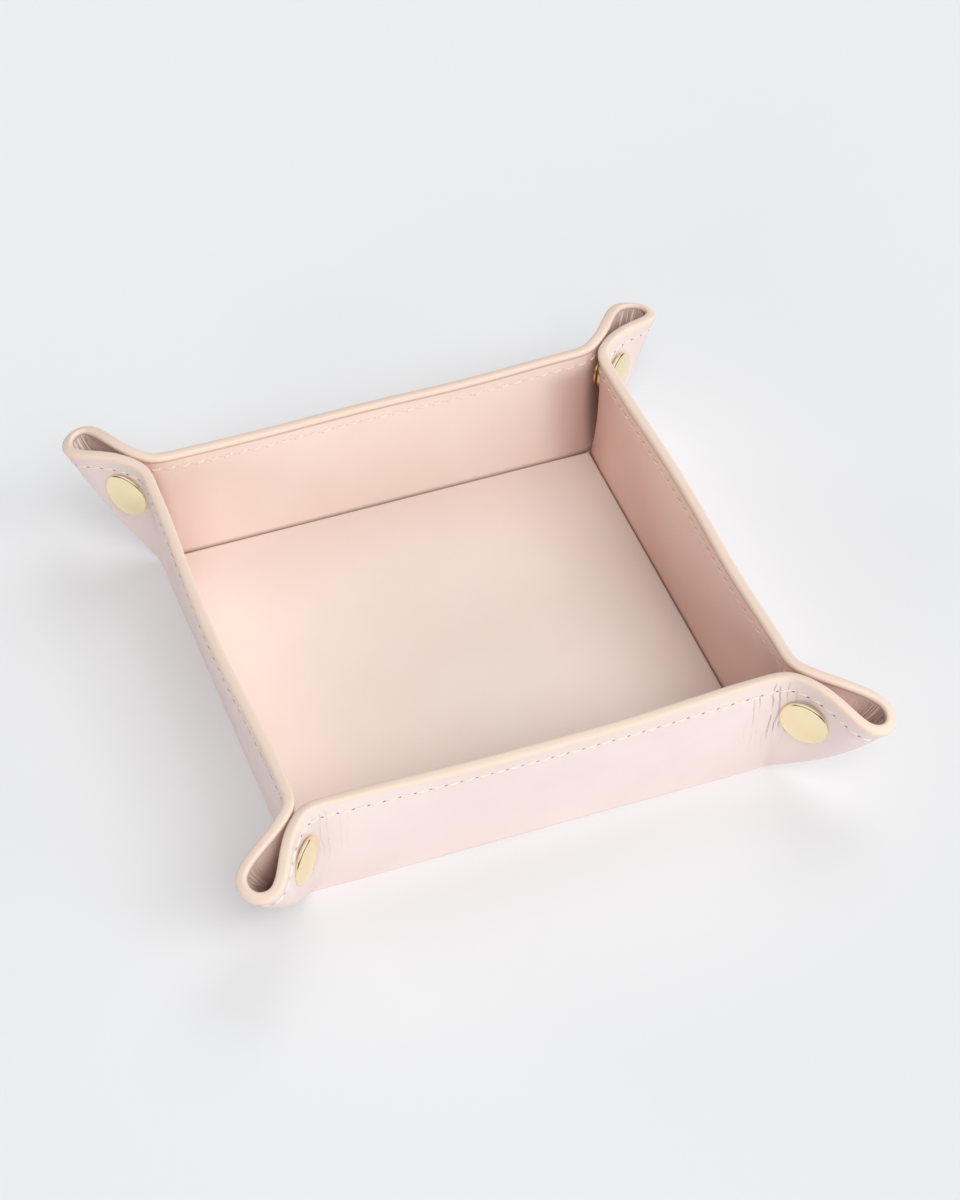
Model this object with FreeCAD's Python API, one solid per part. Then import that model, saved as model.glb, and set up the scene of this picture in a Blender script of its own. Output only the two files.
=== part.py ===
# Square leather valet tray whose four walls stand up when its corners are pinched and snapped.
# Millimetres, +Z up, origin on the table under the middle of the floor, front wall on the -Y side.
# One wall with its right corner is described, then turned for the other walls and mirrored for the left ends.
import FreeCAD, Part
import math
import os

# Tray
floor_width = 116.0
tray_height = 33.6
wall_lean_degrees = 6.5

# Layers
leather_thickness = 0.9
base_board_thickness = 0.8
wall_board_thickness = 0.8
ear_stiffener_thickness = 0.3

# Boards, how far each stays inside the leather
base_board_margin = 1.5
wall_board_foot_margin = 1.5
wall_board_rim_margin = 7.0
wall_board_end_margin = 5.0

# Ears, the pinched corners. Out is measured along the diagonal from the inner corner of the floor.
snap_gap = 2.7
ear_foot_height = 5.5
fold_foot_out = -1.3
cap_fold_margin = 5.9
snap_loop_radius = 2.9
rim_loop_radius = 5.6
rim_fall_degrees = 2.7
rim_round_radius = 15.0

# Snap fasteners
cap_start_out = 3.75
snap_height = 22.5
cap_diameter = 12.5
cap_edge_height = 0.7
cap_height = 1.7
rivet_diameter = 3.8
socket_diameter = 10.4
socket_height = 1.5
socket_floor_thickness = 0.35
stud_diameter = 9.6
stud_flange_thickness = 0.7
stud_head_diameter = 5.4
stud_head_height = 1.4
post_diameter = 9.0
post_flange_thickness = 0.7
post_recess_diameter = 2.6
post_recess_depth = 1.6

# Fits
fold_clearance = 0.06
loop_clearance = 0.15
tip_joint_clearance = 0.3
rivet_clearance = 0.1
stud_clearance = 0.3
seat_clearance = 0.15
overrun = 1.5

# Worked out from the sizes above
lean = math.radians(wall_lean_degrees)
floor_half = floor_width / 2
base_thickness = 2 * leather_thickness + base_board_thickness
wall_thickness = 2 * leather_thickness + wall_board_thickness
ear_thickness = 2 * leather_thickness + ear_stiffener_thickness
ear_lining_side = snap_gap / 2
ear_cover_side = ear_lining_side + ear_thickness
ear_seam_side = ear_lining_side + leather_thickness
ear_middle_side = (ear_lining_side + ear_cover_side) / 2
wall_slant = (tray_height - base_thickness) / math.cos(lean)
hinge_slant = (wall_thickness * math.sin(lean) - base_thickness) / math.cos(lean)
hinge_half = floor_half - base_thickness * math.tan(lean) + wall_thickness / math.cos(lean)
snap_out = cap_start_out + cap_diameter / 2
fold_run = (cap_start_out + cap_diameter + cap_fold_margin - fold_foot_out) / snap_height
fold_rise = math.atan(1 / fold_run)
diagonal_share = math.sqrt(0.5)
crease_end_share = -diagonal_share * (1 + math.sin(lean) ** 2) / (1 + diagonal_share * math.cos(lean))
ear_root_share = (math.cos(lean) + 2 * math.sin(lean) * math.tan(lean)) / (math.cos(lean) + math.sqrt(2))
tip_split_share = 0.5

wall_names = ("front", "right", "back", "left")
# The walls that carry the caps, by corner. The other wall of the corner carries the stud.
cap_walls = {"front_right": "front", "right_back": "right", "back_left": "left", "left_front": "front"}

vector = FreeCAD.Vector
up = vector(0, 0, 1)


def wall_point(along, slant, depth):
    """A point of the front wall: along it, up its slope from the inner crease, and outward from its lining."""
    outward = floor_half + slant * math.sin(lean) + depth * math.cos(lean)
    height = base_thickness + slant * math.cos(lean) - depth * math.sin(lean)
    return vector(along, -outward, height)


def corner_point(out, side, height):
    """A point at the front right corner: out on the diagonal, to the front wall's side of it, above the table."""
    along = floor_half + (out - side) * diagonal_share
    outward = floor_half + (out + side) * diagonal_share
    return vector(along, -outward, height)


def crease_out(height):
    """How far out on the diagonal the wall bends into the ear, on the lining."""
    return (height - base_thickness) * math.tan(lean) / diagonal_share - ear_lining_side


def hexahedron(near, far):
    """A solid between two four-sided ends."""
    wires = [Part.makePolygon(list(end) + [end[0]]) for end in (near, far)]
    return Part.makeLoft(wires, True, True)


def base_layer(low, high, margin):
    """A square layer of the base, with sides bevelled to meet the walls."""
    ends = []
    for height in (low, high):
        half = floor_half + (hinge_half - floor_half) * (1 - height / base_thickness) - margin
        ends.append([vector(x * half, y * half, height) for x, y in ((1, 1), (-1, 1), (-1, -1), (1, -1))])
    return hexahedron(*ends)


def make_base():
    seam = base_thickness - leather_thickness
    board = base_layer(leather_thickness, seam, base_board_margin)
    cover = base_layer(0, seam, fold_clearance).cut(board)
    lining = base_layer(seam, base_thickness, fold_clearance)
    return {"base_cover": cover, "base_board": board, "base_lining": lining}


def wall_layer(inner, outer, foot_margin, rim_margin, end_margin):
    """A layer of the front wall between two depths, bevelled at the floor and at both corner creases."""
    ends = []
    for sign in (-1, 1):
        corners = []
        for depth, at_rim in ((inner, False), (outer, False), (outer, True), (inner, True)):
            slant = hinge_slant * depth / wall_thickness + foot_margin
            if at_rim:
                slant = wall_slant - rim_margin
            crease = floor_half - ear_lining_side / diagonal_share + slant * math.sin(lean)
            along = crease + crease_end_share * depth - end_margin
            corners.append(wall_point(sign * along, slant, depth))
        ends.append(corners)
    return hexahedron(*ends)


def make_wall():
    seam = leather_thickness
    board_margins = (wall_board_foot_margin, wall_board_rim_margin, wall_board_end_margin)
    board = wall_layer(seam, seam + wall_board_thickness, *board_margins)
    cover = wall_layer(seam, wall_thickness, fold_clearance, 0, fold_clearance).cut(board)
    lining = wall_layer(0, seam, fold_clearance, 0, fold_clearance)
    return {"wall_cover": cover, "wall_board": board, "wall_lining": lining}


class Loop:
    """The teardrop outline of one half of an ear at one height, seen from above, as (out, side) pairs."""

    def __init__(self, height, bend_out, radius):
        self.height = height
        self.radius = radius
        self.root_out = crease_out(height) + fold_clearance
        self.bend_out = bend_out
        self.centre_out = fold_foot_out + fold_run * height - radius
        reach = math.hypot(self.centre_out - bend_out, ear_middle_side)
        self.flare = math.asin(radius / reach) - math.atan2(ear_middle_side, self.centre_out - bend_out)
        self.start_angle = math.pi / 2 + self.flare

    def root(self, side):
        return corner_point(self.root_out + ear_root_share * (side - ear_lining_side), side, self.height)

    def bend(self, side):
        shift = (side - ear_middle_side) * math.tan(self.flare / 2)
        return corner_point(self.bend_out - shift, side, self.height)

    def arc_point(self, share, side, shift=0):
        """A point of the round end: share 0 is its start, 1 is on the diagonal. Shift slides along the arc."""
        angle = self.start_angle * (1 - share) - shift / self.radius
        radius = self.radius + side - ear_middle_side
        return corner_point(self.centre_out + radius * math.cos(angle), radius * math.sin(angle), self.height)

    def arc(self, shares, side, shifts=(0, 0)):
        first, last = shares
        middle = self.arc_point((first + last) / 2, side, sum(shifts) / 2)
        return Part.Arc(self.arc_point(first, side, shifts[0]), middle, self.arc_point(last, side, shifts[1]))

    def ear_wire(self, inner, outer):
        """The flat side of the ear and the first part of its round end, between two sides."""
        shares = (0, tip_split_share)
        shifts = (0, -tip_joint_clearance)
        edges = []
        edges.append(Part.makeLine(self.root(inner), self.bend(inner)))
        edges.append(Part.makeLine(self.bend(inner), self.arc_point(0, inner)))
        edges.append(self.arc(shares, inner, shifts).toShape())
        edges.append(Part.makeLine(self.arc_point(tip_split_share, inner, shifts[1]),
                                   self.arc_point(tip_split_share, outer, shifts[1])))
        edges.append(self.arc(shares, outer, shifts).toShape())
        edges.append(Part.makeLine(self.arc_point(0, outer), self.bend(outer)))
        edges.append(Part.makeLine(self.bend(outer), self.root(outer)))
        edges.append(Part.makeLine(self.root(outer), self.root(inner)))
        return Part.Wire(Part.__sortEdges__(edges))

    def tip_wire(self, inner, outer):
        """The last part of the round end, up to the diagonal."""
        shares = (tip_split_share, 1)
        shifts = (tip_joint_clearance, -loop_clearance)
        edges = [self.arc(shares, inner, shifts).toShape()]
        edges.append(Part.makeLine(self.arc_point(1, inner, shifts[1]), self.arc_point(1, outer, shifts[1])))
        edges.append(self.arc(shares, outer, shifts).toShape())
        edges.append(Part.makeLine(self.arc_point(tip_split_share, outer, shifts[0]),
                                   self.arc_point(tip_split_share, inner, shifts[0])))
        return Part.Wire(Part.__sortEdges__(edges))


def ear_loops():
    """The ear's outline at its foot, at the snap and just above the rim."""
    flat_end = snap_out + cap_diameter / 2 + seat_clearance
    foot_centre = fold_foot_out + fold_run * ear_foot_height - ear_middle_side
    foot_bend = (crease_out(ear_foot_height) + foot_centre) / 2
    top = tray_height + overrun
    growth = (rim_loop_radius - snap_loop_radius) / (tray_height - snap_height)
    top_radius = snap_loop_radius + growth * (top - snap_height)
    return (Loop(ear_foot_height, foot_bend, ear_middle_side),
            Loop(snap_height, flat_end, snap_loop_radius),
            Loop(top, flat_end, top_radius))


def above_rim():
    """What the ear's rim leaves out: a straight run that falls a little, then a round down to the fold."""
    fall = math.radians(rim_fall_degrees)
    end = math.pi / 2 - fold_rise
    start_out = crease_out(tray_height)
    round_run = rim_round_radius * (math.sin(end) - math.sin(fall))
    round_drop = rim_round_radius * (math.cos(fall) - math.cos(end))
    level = tray_height + start_out * math.tan(fall)
    straight_out = (fold_foot_out + (level - round_drop) * fold_run - round_run) / (1 + math.tan(fall) * fold_run)
    side = ear_cover_side + rim_loop_radius
    far = straight_out + round_run + side
    ceiling = tray_height + side

    def place(out, height):
        return corner_point(out, -side, height)

    def on_round(angle):
        out = straight_out + rim_round_radius * (math.sin(angle) - math.sin(fall))
        height = level - straight_out * math.tan(fall) - rim_round_radius * (math.cos(fall) - math.cos(angle))
        return place(out, height)

    near = start_out - side
    near_point = place(near, level - near * math.tan(fall))
    tip = on_round(end)
    far_height = tip.z - (far - straight_out - round_run) * math.tan(end)
    corners = [tip, place(far, far_height), place(far, ceiling), place(near, ceiling), near_point, on_round(fall)]
    edges = [Part.makeLine(a, b) for a, b in zip(corners, corners[1:])]
    edges.append(Part.Arc(on_round(fall), on_round((fall + end) / 2), tip).toShape())
    face = Part.Face(Part.Wire(Part.__sortEdges__(edges)))
    return face.extrude(corner_point(0, side, 0) - corner_point(0, -side, 0))


def snap_solid(profile):
    """A round piece on the snap's axis. The profile has (radius, side) pairs, or an arc as three of them."""
    centre = corner_point(snap_out, 0, snap_height)
    edges = []
    for points in profile:
        places = [corner_point(snap_out, side, snap_height + radius) for radius, side in points]
        edges.append(Part.makeLine(*places) if len(places) == 2 else Part.Arc(*places).toShape())
    face = Part.Face(Part.Wire(Part.__sortEdges__(edges)))
    axis = corner_point(snap_out, ear_cover_side, snap_height) - centre
    return face.revolve(centre, axis, 360)


def outline(*points):
    """Straight runs through the points and back to the first."""
    return list(zip(points, points[1:] + points[:1]))


def disc(radius, start, end):
    return snap_solid(outline((0, start), (radius, start), (radius, end), (0, end)))


def make_cap():
    """The polished cap with its rivet, on the cover's side."""
    radius = cap_diameter / 2
    rivet = rivet_diameter / 2
    edge = ear_cover_side + cap_edge_height
    top = ear_cover_side + cap_height
    shoulder = (radius - cap_edge_height / 2, edge)
    crown_radius = (shoulder[0] ** 2 + (top - edge) ** 2) / (2 * (top - edge))
    half_angle = math.asin(shoulder[0] / crown_radius) / 2
    middle = (crown_radius * math.sin(half_angle), top - crown_radius * (1 - math.cos(half_angle)))
    end = ear_lining_side - socket_floor_thickness
    profile = [((0, end), (rivet, end)), ((rivet, end), (rivet, ear_cover_side)),
               ((rivet, ear_cover_side), (radius, ear_cover_side)),
               ((radius, ear_cover_side), (radius, edge - cap_edge_height / 2)),
               ((radius, edge - cap_edge_height / 2), shoulder),
               (shoulder, middle, (0, top)), ((0, top), (0, end))]
    return snap_solid(profile)


def make_socket():
    radius = socket_diameter / 2
    face = ear_lining_side - socket_height
    ring = disc(radius, ear_lining_side, face)
    mouth = disc(stud_head_diameter / 2 + stud_clearance, ear_lining_side - socket_floor_thickness, face)
    hole = disc(rivet_diameter / 2 + rivet_clearance, ear_lining_side, face)
    return ring.cut(mouth).cut(hole)


def make_stud():
    flange_face = ear_lining_side - stud_flange_thickness
    flange = disc(stud_diameter / 2, ear_lining_side, flange_face)
    head = disc(stud_head_diameter / 2, flange_face, flange_face - stud_head_height)
    hole = disc(rivet_diameter / 2 + rivet_clearance, ear_lining_side, flange_face)
    return flange.fuse(head).cut(hole).removeSplitter()


def make_post():
    outer = ear_cover_side + post_flange_thickness
    end = ear_lining_side - stud_flange_thickness
    flange = disc(post_diameter / 2, ear_cover_side, outer)
    rivet = disc(rivet_diameter / 2, end, ear_cover_side)
    recess = disc(post_recess_diameter / 2, outer - post_recess_depth, outer)
    return flange.fuse(rivet).cut(recess).removeSplitter()


def make_ear(seat_diameter):
    """The ear and its tip at the right end of the front wall, with the hole and seat for its half of the snap."""
    loops = ear_loops()
    waste = above_rim()
    side = ear_cover_side + rim_loop_radius
    hole = disc(rivet_diameter / 2 + rivet_clearance, 0, side)
    seat = disc(seat_diameter / 2 + seat_clearance, ear_cover_side, side)
    made = {}
    for name, inner, outer in (("lining", ear_lining_side, ear_seam_side), ("cover", ear_seam_side, ear_cover_side)):
        ear = Part.makeLoft([loop.ear_wire(inner, outer) for loop in loops], True, True)
        tip = Part.makeLoft([loop.tip_wire(inner, outer) for loop in loops], True, True)
        made["ear_" + name] = ear.cut(waste).cut(hole).cut(seat)
        made["tip_" + name] = tip.cut(waste).cut(seat)
    made["tip"] = Part.makeCompound([made.pop("tip_lining"), made.pop("tip_cover")])
    return made


def turned(shape, quarter_turns, mirrored):
    """The shape at another wall, or at the left end of it."""
    copy = shape.mirror(vector(0, 0, 0), vector(1, 0, 0)) if mirrored else shape.copy()
    copy.rotate(vector(0, 0, 0), up, 90 * quarter_turns)
    return copy


def make_tray():
    nodes = make_base()
    wall = make_wall()
    snap_halves = {True: {"cap": make_cap(), "socket": make_socket()},
                   False: {"stud": make_stud(), "post": make_post()}}
    ears = {True: make_ear(cap_diameter), False: make_ear(post_diameter)}
    for turns, name in enumerate(wall_names):
        for piece, shape in wall.items():
            nodes[name + "_" + piece] = turned(shape, turns, False)
        for mirrored, step in ((False, 1), (True, -1)):
            other = wall_names[(turns + step) % len(wall_names)]
            corner = other + "_" + name if mirrored else name + "_" + other
            has_cap = cap_walls[corner] == name
            for piece, shape in ears[has_cap].items():
                nodes[name + "_" + other + "_" + piece] = turned(shape, turns, mirrored)
            for piece, shape in snap_halves[has_cap].items():
                nodes[corner + "_snap_" + piece] = turned(shape, turns, mirrored)
    return nodes


def main():
    os.makedirs("parts", exist_ok=True)
    for name, shape in make_tray().items():
        shape.exportStep(os.path.join("parts", name + ".step"))
        print(name, "valid" if shape.isValid() else "NOT VALID", len(shape.Solids), "solids", round(shape.Volume, 2))


main()
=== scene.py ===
# Looks of the leather valet tray: soft leather with pinched corners, stitching and brass snaps.
# The shapes are worked out in millimetres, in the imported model's frame, and made in metres.
import bpy
import math
import numpy as np
from mathutils import Matrix, Vector


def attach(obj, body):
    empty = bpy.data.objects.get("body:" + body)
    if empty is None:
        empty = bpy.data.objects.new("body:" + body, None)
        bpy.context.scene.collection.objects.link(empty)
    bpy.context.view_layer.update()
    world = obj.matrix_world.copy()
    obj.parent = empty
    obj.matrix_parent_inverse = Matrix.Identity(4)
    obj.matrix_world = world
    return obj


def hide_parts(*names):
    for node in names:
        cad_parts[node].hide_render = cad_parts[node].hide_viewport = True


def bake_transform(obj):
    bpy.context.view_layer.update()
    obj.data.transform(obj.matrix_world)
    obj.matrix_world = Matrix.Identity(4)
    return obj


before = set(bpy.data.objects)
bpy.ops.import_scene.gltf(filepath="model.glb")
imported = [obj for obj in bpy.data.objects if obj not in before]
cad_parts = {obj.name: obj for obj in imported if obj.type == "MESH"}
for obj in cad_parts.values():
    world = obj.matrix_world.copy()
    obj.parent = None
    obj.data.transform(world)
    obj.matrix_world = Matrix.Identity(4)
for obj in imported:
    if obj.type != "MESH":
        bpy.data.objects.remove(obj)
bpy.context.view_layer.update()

metres = 0.001
root2 = math.sqrt(2)
wall_names = ("front", "right", "back", "left")
mirror_x = np.array([-1, 1, 1])

# Tray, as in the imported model
floor_half = 58.0
base_thickness = 2.6
wall_thickness = 2.6
ear_thickness = 2.2
leather_thickness = 0.9
tray_height = 33.6
lean = math.radians(6.5)

# Rim: a painted edge, a little thicker than the leather below it
rim_crown = 0.9
rim_half = 1.42
bead_fade = 1.8
flap_step = 0.15
wall_bows = {"front": 0.3, "right": 0.8, "back": 0.8, "left": 1.2}

# Seam
stitch_pitch = 3.8
stitch_lengths = {"cover": 2.9, "lining": 2.5}
stitch_rises = {"cover": 0.1, "lining": 0.2}
buried_rise = -0.2
stitch_depth = 4.1
thread_radius = 0.27
thread_dip = 0.45
stitch_slant = 0.22

# Snaps, on an axis across the diagonal
snap_out = 10.0
snap_height = 22.5
ear_lining_side = 1.35
ear_cover_side = 3.45

# Soft corner. Out is along the diagonal from the floor's inner corner, side is towards the wall.
# Three rows of control points (out, side, height) run from the wall to the loop's end on the diagonal.
wall_run_back = (14.0, 11.0, 8.0, 5.0)
row_shares = (0, 2 / 3, 1)
foot_height = base_thickness / 2
rim_height = tray_height - rim_crown
foot_row = ((0.35, 1.25, 1.3), (0.75, 0.95, 1.3), (1.05, 0.7, 1.3), (1.25, 0.5, 1.3),
            (1.38, 0.33, 1.3), (1.46, 0.2, 1.3), (1.5, 0.07, 1.3))
snap_row = ((2.6, 2.55, 22.2), (6.2, 2.35, 22.2), (10.5, 2.3, 22.0), (14.6, 2.5, 21.3),
            (18.0, 3.2, 20.3), (20.6, 3.3, 19.2), (21.9, 1.15, 18.5))
rim_row = ((4.2, 2.4, 32.8), (8.0, 1.5, 32.8), (13.0, 1.7, 32.5), (18.5, 3.0, 31.5),
           (23.5, 4.6, 29.9), (28.0, 4.9, 28.3), (30.5, 1.7, 27.4))
# How each corner's loop leans to the first wall of its name, lifts and reaches, at its end
corner_leans = {"front_right": (1.3, -0.8, 1.0), "right_back": (2.4, 1.2, 0.5),
                "back_left": (2.4, 3.0, -1.5), "left_front": (-1.2, 0.3, 0.0)}
lean_reach = 30.0
# How far each corner is off its regular place, at the snap's height and at the rim: out, to the first wall
# of its name, and up
corner_shifts = {"front_right": ((1.4, -0.6, 0.0), (0.0, -2.3, 0.0)),
                 "right_back": ((0.3, -0.8, 0.0), (0.5, -1.6, 0.0)),
                 "back_left": ((-0.5, 0.0, 1.2), (-0.6, -0.3, 1.0)),
                 "left_front": ((0.5, -0.8, 0.0), (-1.0, 0.4, 0.0))}
shift_run = (15.0, 56.0)


def smooth(x, low, high):
    """0 below low, 1 above high, and a smooth rise between."""
    t = np.clip((x - low) / (high - low), 0, 1)
    return t * t * (3 - 2 * t)


def unit(v):
    return v / np.linalg.norm(v, axis=-1, keepdims=True)


def wall_middle(height):
    """How far out the middle of the wall's thickness is, above the table."""
    return floor_half + (height - base_thickness) * math.tan(lean) + wall_thickness / 2 / math.cos(lean)


def corner_point(out, side, height):
    """Places of the front wall's right corner as x, y, z."""
    out, side, height = np.broadcast_arrays(out, side, height)
    along = floor_half + (out - side) / root2
    outward = floor_half + (out + side) / root2
    return np.stack([along, -outward, height], -1).astype(float)


def placed(points, turns, mirrored):
    """Points of the front wall's right half, at another wall or at its left half, in metres."""
    x, y, z = np.moveaxis(np.asarray(points, float) * metres, -1, 0)
    x = -x if mirrored else x
    for _ in range(turns):
        x, y = -y, x
    return np.stack([x, y, z], -1)


def spline_weights(count, places):
    """Weights of a uniform cubic spline's control points at each place along it."""
    weights = np.zeros((len(places), count))
    for row, place in enumerate(places):
        first = min(int(place), count - 4)
        u = place - first
        weights[row, first:first + 4] = ((1 - u) ** 3 / 6, (3 * u ** 3 - 6 * u ** 2 + 4) / 6,
                                         (-3 * u ** 3 + 3 * u ** 2 + 3 * u + 1) / 6, u ** 3 / 6)
    return weights


def leaned(points, corner, first):
    """Points (out, side, height) of a corner, moved as its loop leans."""
    side, lift, reach = corner_leans[corner]
    share = np.clip(points[..., :1] / lean_reach, 0, None) ** 2
    return points + share * np.array([reach, side if first else -side, lift])


def control_row(row, height, corner, first):
    """Control points of one row: along the wall, round the loop and back along the other half."""
    halves = []
    for own in (True, False):
        points = []
        for back in wall_run_back:
            along, outward = -back, wall_middle(height) - floor_half
            points.append(((along + outward) / root2, (outward - along) / root2, height))
        for out, side, level in row:
            points.append((out, side, level))
        points = np.array(points)
        points[:, 1] *= 1 if own else -1
        points = leaned(points, corner, first)
        halves.append(points if own else points[::-1])
    return np.concatenate(halves)


def row_blend(shares):
    """How much of the three rows there is at each share of the height."""
    a, b, c = row_shares
    t = np.asarray(shares)
    return ((t - b) * (t - c) / ((a - b) * (a - c)), (t - a) * (t - c) / ((b - a) * (b - c)),
            (t - a) * (t - b) / ((c - a) * (c - b)))


def corner_move(corner, first, shares):
    """How far the front wall's right end is off its regular place at shares of the height, as x, y, z."""
    at_snap, at_rim = (np.array(shift) for shift in corner_shifts[corner])
    snap, rim = row_blend(shares)[1:]
    out, side, up = np.moveaxis(np.multiply.outer(snap, at_snap) + np.multiply.outer(rim, at_rim), -1, 0)
    return corner_point(out, side if first else -side, up) - corner_point(0, 0, 0)


class Sheet:
    """The middle of the leather on a grid: stations along the wall, shares of the height. Holds its outward
    normal and upward direction too."""

    def __init__(self, grid, thickness):
        self.grid = grid
        self.thickness = thickness
        along = np.gradient(grid, axis=0)
        rise = np.gradient(grid, axis=1)
        self.normal = unit(np.cross(along, rise))
        self.up = unit(rise)

    def trimmed(self, span):
        part = object.__new__(Sheet)
        part.grid, part.normal, part.up = self.grid[span], self.normal[span], self.up[span]
        part.thickness = self.thickness[span]
        return part


# Grid of the leather: rows up its height, closer at the foot and at the rim, and stations along it.
# Places along a wall's end count the spline's control points.
close_foot = 0.12
close_rim = 0.84
height_shares = np.concatenate([np.linspace(0, close_foot, 6)[:-1],
                                np.linspace(close_foot, close_rim, 14)[:-1],
                                np.linspace(close_rim, 1, 11)])
flap_row = len(height_shares) - 2
stations_per_span = 9
ghost_stations = 2
panel_place = 1.7
seam_place = 4.5
thinning_run = (0.5, 4.0)
wall_seam = floor_half - wall_run_back[1]
wall_stations = 61


def corner_sheet(corner, first):
    """The right half of the front wall's corner, from the straight wall to the end of the loop."""
    heights = [foot_height + (rim_height - foot_height) * share for share in row_shares]
    rows = [control_row(row, height, corner, first)
            for row, height in zip((foot_row, snap_row, rim_row), heights)]
    own = len(rows[0]) // 2
    # The middle of the spline, where the loop meets the diagonal
    end = own - 1.5
    count = int(end * stations_per_span)
    places = np.linspace(0, end, count + 1)
    step = places[1]
    places = np.concatenate([places, end + step * np.arange(1, ghost_stations + 1)])
    weights = spline_weights(len(rows[0]), places)
    curves = [weights @ row for row in rows]
    shares = row_blend(height_shares)
    local = sum(curve[:, None, :] * share[None, :, None] for curve, share in zip(curves, shares))
    grid = corner_point(local[..., 0], local[..., 1], local[..., 2])
    grid = grid + smooth(grid[..., :1], *shift_run) * corner_move(corner, first, height_shares)
    thickness = wall_thickness + (ear_thickness - wall_thickness) * smooth(places, *thinning_run)
    own_half = slice(0, count + 1)
    return Sheet(grid, thickness).trimmed(own_half), places[own_half]


def wall_sheet(wall, left_corner, right_corner):
    """A wall between its two corners, bowed a little at the middle of its rim."""
    along = np.linspace(-wall_seam, wall_seam, wall_stations)
    height = foot_height + (rim_height - foot_height) * height_shares
    bow_along = wall_bows[wall] * np.cos(along / wall_seam * math.pi / 2)[:, None] ** 2
    bow = bow_along * height_shares[None, :] ** 2
    outward = wall_middle(height)[None, :] + bow
    grid = np.stack([np.broadcast_to(along[:, None], outward.shape), -outward,
                     np.broadcast_to(height[None, :], outward.shape)], -1)
    left_move = corner_move(left_corner, False, height_shares) * mirror_x
    right_move = corner_move(right_corner, True, height_shares)
    grid = grid + smooth(-along, *shift_run)[:, None, None] * left_move
    grid = grid + smooth(along, *shift_run)[:, None, None] * right_move
    return Sheet(grid, np.full(len(along), wall_thickness))


# Cross-sections of the leathers
crown_angles = np.linspace(0, math.pi, 17)[1:-1]
crown_square = 0.75
foot_angles = np.linspace(math.pi / 2, 0, 7)[:-1]
inside_shares = (0.97, 0.8, 0.5, 0.2, 0.0)
lining_first_row = 1
# Painted shade in the creases: at the rim's inner edge and at the lining's foot
edge_crease_shade = 0.7
foot_crease_shades = (1.0, 0.4, 0.0)


def at_share(values, share):
    """A column of a grid at a share of the height."""
    place = np.interp(share, height_shares, np.arange(len(height_shares)))
    low = min(int(place), len(height_shares) - 2)
    return values[:, low] + (values[:, low + 1] - values[:, low]) * (place - low)


def below_rim(sheet):
    """How far each point of the sheet is below the top of the rim."""
    steps = np.linalg.norm(np.diff(sheet.grid, axis=1), axis=-1)
    lengths = np.concatenate([np.zeros((len(steps), 1)), np.cumsum(steps[:, ::-1], axis=1)], axis=1)
    return lengths[:, ::-1] + rim_crown


def rim_bead(sheet, depth):
    """How much thicker the leather is on each side towards the rim."""
    return (rim_half - sheet.thickness[:, None] / 2) * np.exp(-((depth - rim_crown) / bead_fade) ** 2)


def cover_loops(sheet):
    """Closed cross-sections of the cover: foot, outer face, rim, edge and the hidden inside. Gives the
    points, their depths below the rim and how dark the painted shade of a crease is there."""
    half = sheet.thickness[:, None] / 2
    inside = half - leather_thickness
    depth = below_rim(sheet)
    bead = half + rim_bead(sheet, depth)
    columns, depths, creases = [], [], []

    def add(points, distance, crease=0.0):
        columns.append(points)
        depths.append(np.broadcast_to(distance, len(points)))
        creases.append(np.full(len(points), crease))

    foot, foot_normal = sheet.grid[:, 0], sheet.normal[:, 0]
    down = np.array([0, 0, -1.0])
    for angle in foot_angles:
        add(foot + half * (foot_normal * math.cos(angle) + down * math.sin(angle)), depth[:, 0])
    for column in range(len(height_shares)):
        add(sheet.grid[:, column] + bead[:, column, None] * sheet.normal[:, column], depth[:, column])
    rim, normal, up = sheet.grid[:, -1], sheet.normal[:, -1], sheet.up[:, -1]
    for angle in crown_angles:
        across = math.copysign(abs(math.cos(angle)) ** crown_square, math.cos(angle))
        rise = math.sin(angle) ** crown_square
        add(rim + rim_half * across * normal + rim_crown * rise * up, 0)
    for column in range(len(height_shares) - 1, flap_row - 1, -1):
        add(sheet.grid[:, column] - bead[:, column, None] * sheet.normal[:, column], depth[:, column],
            edge_crease_shade if column == flap_row else 0)
    edge = half - leather_thickness / 2
    add(sheet.grid[:, flap_row] - edge * sheet.normal[:, flap_row], depth[:, flap_row], edge_crease_shade)
    top = inside_shares[0]
    add(at_share(sheet.grid, top) - edge * at_share(sheet.normal, top), depth[:, -1])
    for share in inside_shares:
        add(at_share(sheet.grid, share) + inside * at_share(sheet.normal, share), depth[:, 0])
    loops = np.stack(columns, 1)
    loops[..., 2] = np.maximum(loops[..., 2], 0)
    return loops, np.stack(depths, 1), np.stack(creases, 1)


def lining_loops(sheet):
    """Closed cross-sections of the lining, from just under the floor's top to the rim's edge."""
    half = sheet.thickness[:, None] / 2
    inside = half - leather_thickness
    depth = below_rim(sheet)
    face = half + rim_bead(sheet, depth) - flap_step
    rows = list(range(lining_first_row, flap_row + 1))
    columns = [sheet.grid[:, row] - face[:, row, None] * sheet.normal[:, row] for row in rows]
    columns += [sheet.grid[:, row] - np.maximum(inside, 0) * sheet.normal[:, row] for row in reversed(rows)]
    depths = [depth[:, row] for row in rows + rows[::-1]]
    # Painted shade in the crease at the lining's foot and at the rim's inner edge
    crease = np.zeros(2 * len(rows))
    crease[:len(foot_crease_shades)] = foot_crease_shades
    crease[len(rows) - 1] = edge_crease_shade
    loops = np.stack(columns, 1)
    return loops, np.stack(depths, 1), np.broadcast_to(crease, loops.shape[:2])


board_half = 0.38
board_shares = np.linspace(0.12, 0.93, 7)


def board_loops(sheet):
    """Closed cross-sections of the stiff board between the leathers."""
    columns = []
    for share in board_shares:
        columns.append(at_share(sheet.grid, share) + board_half * at_share(sheet.normal, share))
    for share in board_shares[::-1]:
        columns.append(at_share(sheet.grid, share) - board_half * at_share(sheet.normal, share))
    return np.stack(columns, 1)


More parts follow.
